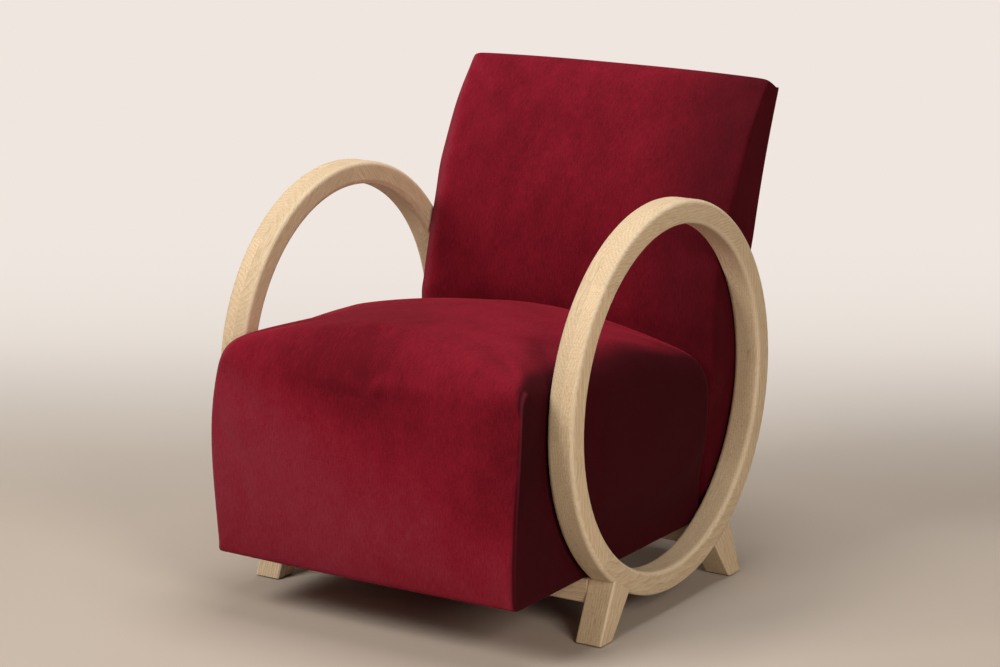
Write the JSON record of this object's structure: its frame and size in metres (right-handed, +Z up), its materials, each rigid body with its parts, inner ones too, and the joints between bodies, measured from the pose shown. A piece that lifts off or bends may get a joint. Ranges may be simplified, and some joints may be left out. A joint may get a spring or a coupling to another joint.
{
  "type": "club chair",
  "caption": "Club chair with a tight velvet seat and raked back carried between ring-shaped laminated oak arms on splayed block feet.",
  "frame": {"origin": "centre of the footprint, on the floor", "axes": "+Z up, the front of the chair faces -Y, +X to the sitter's left"},
  "size_m": [0.676, 0.8264, 0.8172],
  "materials": {
    "limed_oak": "limed, open grain, matt",
    "beech_frame": "planed, unfinished",
    "velvet": "short cut pile",
    "foam": "open-cell foam",
    "webbing": "woven elastic webbing",
    "hessian": "plain weave",
    "dust_cover": "non-woven cloth",
    "felt": "pressed felt",
    "zinc_steel": "zinc plated"
  },
  "bodies": {
    "root": {"arm_bolts": "zinc_steel", "arm_inserts": "zinc_steel", "arm_spacers": "zinc_steel", "back_bolts": "zinc_steel", "back_bottom_rail": "beech_frame", "back_cover": "velvet", "back_foam": "foam", "back_left_stile": "beech_frame", "back_middle_rail": "beech_frame", "back_nuts": "zinc_steel", "back_right_stile": "beech_frame", "back_top_rail": "beech_frame", "back_webbing": "webbing", "foot_dowels": "beech_frame", "foot_glides": "felt", "front_cross_rail": "limed_oak", "front_left_foot": "limed_oak", "front_right_foot": "limed_oak", "left_ring_inner_segment_1": "limed_oak", "left_ring_inner_segment_2": "limed_oak", "left_ring_inner_segment_3": "limed_oak", "left_ring_inner_segment_4": "limed_oak", "left_ring_outer_segment_1": "limed_oak", "left_ring_outer_segment_2": "limed_oak", "left_ring_outer_segment_3": "limed_oak", "left_ring_outer_segment_4": "limed_oak", "outside_back": "velvet", "rail_dowels": "beech_frame", "rear_cross_rail": "limed_oak", "rear_left_foot": "limed_oak", "rear_right_foot": "limed_oak", "right_ring_inner_segment_1": "limed_oak", "right_ring_inner_segment_2": "limed_oak", "right_ring_inner_segment_3": "limed_oak", "right_ring_inner_segment_4": "limed_oak", "right_ring_outer_segment_1": "limed_oak", "right_ring_outer_segment_2": "limed_oak", "right_ring_outer_segment_3": "limed_oak", "right_ring_outer_segment_4": "limed_oak", "seat_corner_blocks": "beech_frame", "seat_cover": "velvet", "seat_cross_member": "beech_frame", "seat_crosswise_webbing": "webbing", "seat_dust_cover": "dust_cover", "seat_foam": "foam", "seat_front_board": "beech_frame", "seat_hessian": "hessian", "seat_left_board": "beech_frame", "seat_lengthwise_webbing": "webbing", "seat_rear_board": "beech_frame", "seat_right_board": "beech_frame", "seat_screws": "zinc_steel"}
  },
  "joints": []
}
